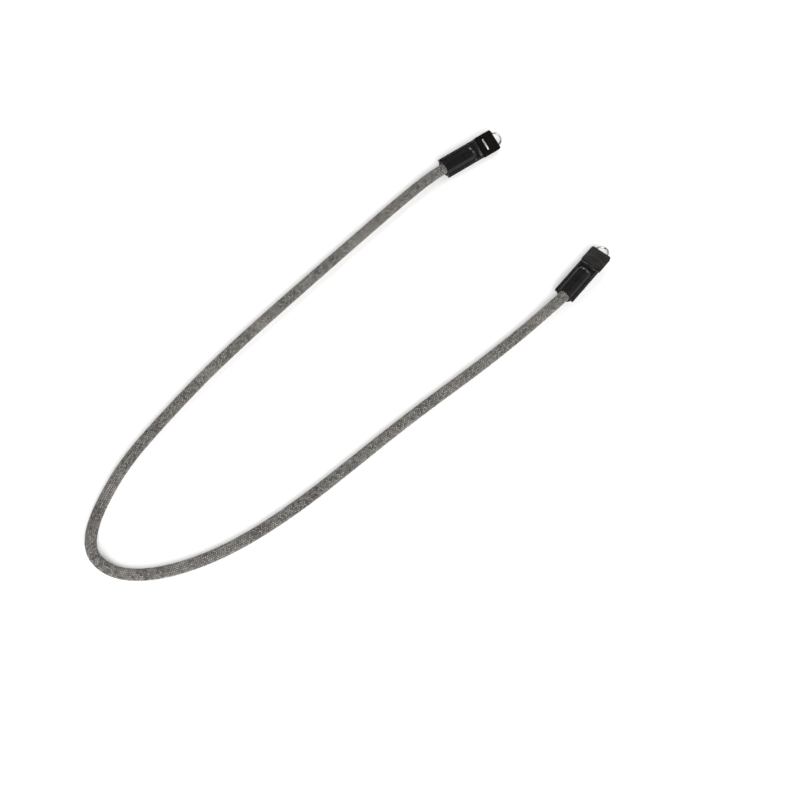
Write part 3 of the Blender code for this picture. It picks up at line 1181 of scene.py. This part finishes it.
        half, rise = self.tab_width / 2, self.tab_thickness / 2
        tab = Bench.box("tab", (self.sleeve_length - self.tab_reach, -half, self.middle - rise),
                        (self.pad_back + self.overrun, half, self.middle + rise))
        joined = Bench.join(pad.name, [pad, tab, self.bar_mark(low)])
        Bench.apply(joined, "REMESH", mode="VOXEL", voxel_size=self.voxel)
        Bench.apply(joined, "SMOOTH", factor=0.5, iterations=5)
        return joined

    def bar_mark(self, face: float) -> bpy.types.Object:
        """Make the welt that the ring's bar presses into the leather of the covered face.

        Args:
            face: the height of that face.

        Returns:
            A thin arched rod, most of it under the surface.
        """
        arch = ((40.9, 8.3), (42.6, 7.6), (43.8, 6.4), (44.4, 4.6), (44.6, 2.3), (44.6, 0.0))
        line = [*arch, *((x, -y) for x, y in reversed(arch[:-1]))]
        line = [(x * MM, y * MM, face + self.mark_rise) for x, y in line]
        return Bench.bend("bar_mark", line, self.mark_radius, 16, "NURBS",
                          order_u=4, use_endpoint_u=True, resolution_u=8)

    def guard(self) -> bpy.types.Object:
        """Make the pad and cut the ring's channel and the bar's window into it.

        Returns:
            The pad.
        """
        pad = self.pad()
        channel = self.wire("channel", self.channel_radius, 16)
        half = self.channel_radius + self.window_room
        window = Bench.box("window", (self.bar_x - half, -self.leg_y - half, self.middle + self.bar_raise),
                           (self.bar_x + half, self.leg_y + half, self.middle + self.pad_thickness))
        midway = self.middle + (self.bar_raise + self.pad_thickness) / 2
        Bench.edit(window, "EDGE")
        Bench.pick(window, "edges", lambda co: abs(co.z - midway) < 0.01 * MM)
        bpy.ops.mesh.bevel(offset=0.97 * half, segments=8, affect="EDGES")
        Bench.close()
        Bench.cut(pad, channel, window)
        Bench.smooth(pad, 40.0)
        return pad

    # Stitching

    def stitch(self) -> bpy.types.Object:
        """Model one stitch: a short thread that bows up from hole to hole.

        Returns:
            The stitch, round the origin.
        """
        piece = Bench.add("stitch_model", bpy.ops.mesh.primitive_uv_sphere_add,
                          (0.24 * MM, 0.27 * MM, 0.42 * self.stitch_pitch),
                          segments=8, ring_count=6, radius=1.0, rotation=(0, math.pi / 2, 0))
        Bench.smooth(piece, 180.0)
        return piece

    def stitching(self, layers: Sequence[bpy.types.Object]) -> bpy.types.Object:
        """Sew both layers: stitches along both edges and across the tongue, above and below.

        Args:
            layers: the sleeve's layers, in the fitting's own frame.

        Returns:
            All stitches as one piece.
        """
        model = self.stitch()
        points = np.array([vertex.co for vertex in model.data.vertices])
        faces = [tuple(face.vertices) for face in model.data.polygons]
        bpy.data.objects.remove(model, do_unlink=True)
        line_y, line_x = self.half_width - self.stitch_inset, self.sleeve_length - self.stitch_inset
        runs = [((1.6 * MM, y), (line_x - 0.4 * MM, y)) for y in (-line_y, line_y)]
        runs.append(((line_x, -line_y + 0.9 * MM), (line_x, line_y - 0.9 * MM)))
        verts, cells = [], []
        for layer, face in zip(layers, (1, -1)):
            for start, stop in runs:
                start, stop = Vector(start), Vector(stop)
                count = round((stop - start).length / self.stitch_pitch)
                step = (stop - start) / count
                for i in range(count):
                    ends = []
                    for share in (0.12, 0.88):
                        x, y = start + step * (i + share)
                        above = Vector((x, y, self.middle + face * 20 * MM))
                        found, hit, _, _ = layer.ray_cast(above, Vector((0, 0, -face)))
                        ends.append(hit if found else Vector((x, y, self.middle)))
                    turn = (ends[1] - ends[0]).to_track_quat("X", "Z").to_matrix()
                    middle = (ends[0] + ends[1]) / 2 + Vector((0, 0, self.thread_rise * face))
                    base = len(verts)
                    verts += [tuple(middle + turn @ Vector(p)) for p in points]
                    cells += [tuple(base + k for k in f) for f in faces]
        mesh = bpy.data.meshes.new(self.name("stitching"))
        mesh.from_pydata(verts, [], cells)
        mesh.polygons.foreach_set("use_smooth", [True] * len(cells))
        return link(mesh.name, mesh)

    def build(self, leather: bpy.types.Material, pad_leathers: Sequence[bpy.types.Material],
              thread: bpy.types.Material, steel: bpy.types.Material) -> None:
        """Build every piece of this fitting, put it in place and dress it.

        Args:
            leather: the sleeve's material.
            pad_leathers: the guard pad's materials, of which the second is its closed face's.
            thread: the stitches' material.
            steel: the ring's material.
        """
        upper, lower = self.sleeve()
        stitches = self.stitching([upper, lower])
        pad = self.guard()
        ring = self.wire(self.name("d_ring"), self.wire_radius, 20)
        Bench.smooth(ring, 180.0)
        closed_face = np.array([face.normal.z < -0.5 for face in pad.data.polygons])
        place = self.place()
        for piece in (upper, lower, stitches, pad, ring):
            piece.data.transform(place)
        hand_over(upper, leather, [self.name("sleeve")])
        hand_over(lower, leather, [self.name("sleeve")])
        hand_over(stitches, thread)
        hand_over(pad, pad_leathers[0], [self.name("guard")])
        pad.data.materials.append(pad_leathers[1])
        pad.data.polygons.foreach_set("material_index", closed_face.astype(np.int32))
        hand_over(ring, steel, [self.name("ring")])


def main() -> None:
    """Build the studio and every sub-assembly of the strap."""
    logging.basicConfig(level=logging.INFO, format="%(name)s: %(message)s")
    studio = Studio()
    studio.camera()
    rope = Rope()
    rope.build()
    studio.floor(StudioFloor())
    studio.light()
    leather, steel, thread = MouldedLeather().build(), PolishedSteel().build(), WaxedThread().build()
    # The pad's closed face is left matt and is coloured greyer than its smooth windowed face: a painted
    # sheen, standing for the light that this face catches where it is turned up
    pad_leathers = (
        MouldedLeather(name="black_pad_leather", base="#0b0a09", rubbed="#141210", gloss=0.03,
                       resin=0.0).build(),
        MouldedLeather(name="pad_leather_painted_sheen", base="#181614", rubbed="#292622", gloss=0.15,
                       resin=0.0).build(),
    )
    # The left fitting leans on its bulge and its pad's edge; the right one is turned over, nearly flat
    for end, mouth, heading, roll in (
        (End.LEFT, rope.left_mouth, rope.left_heading, math.radians(29.47)),
        (End.RIGHT, rope.right_mouth, rope.right_heading, math.radians(188.0)),
    ):
        Fitting(end, mouth, heading, roll).build(leather, pad_leathers, thread, steel)


if __name__ == "__main__":
    main()
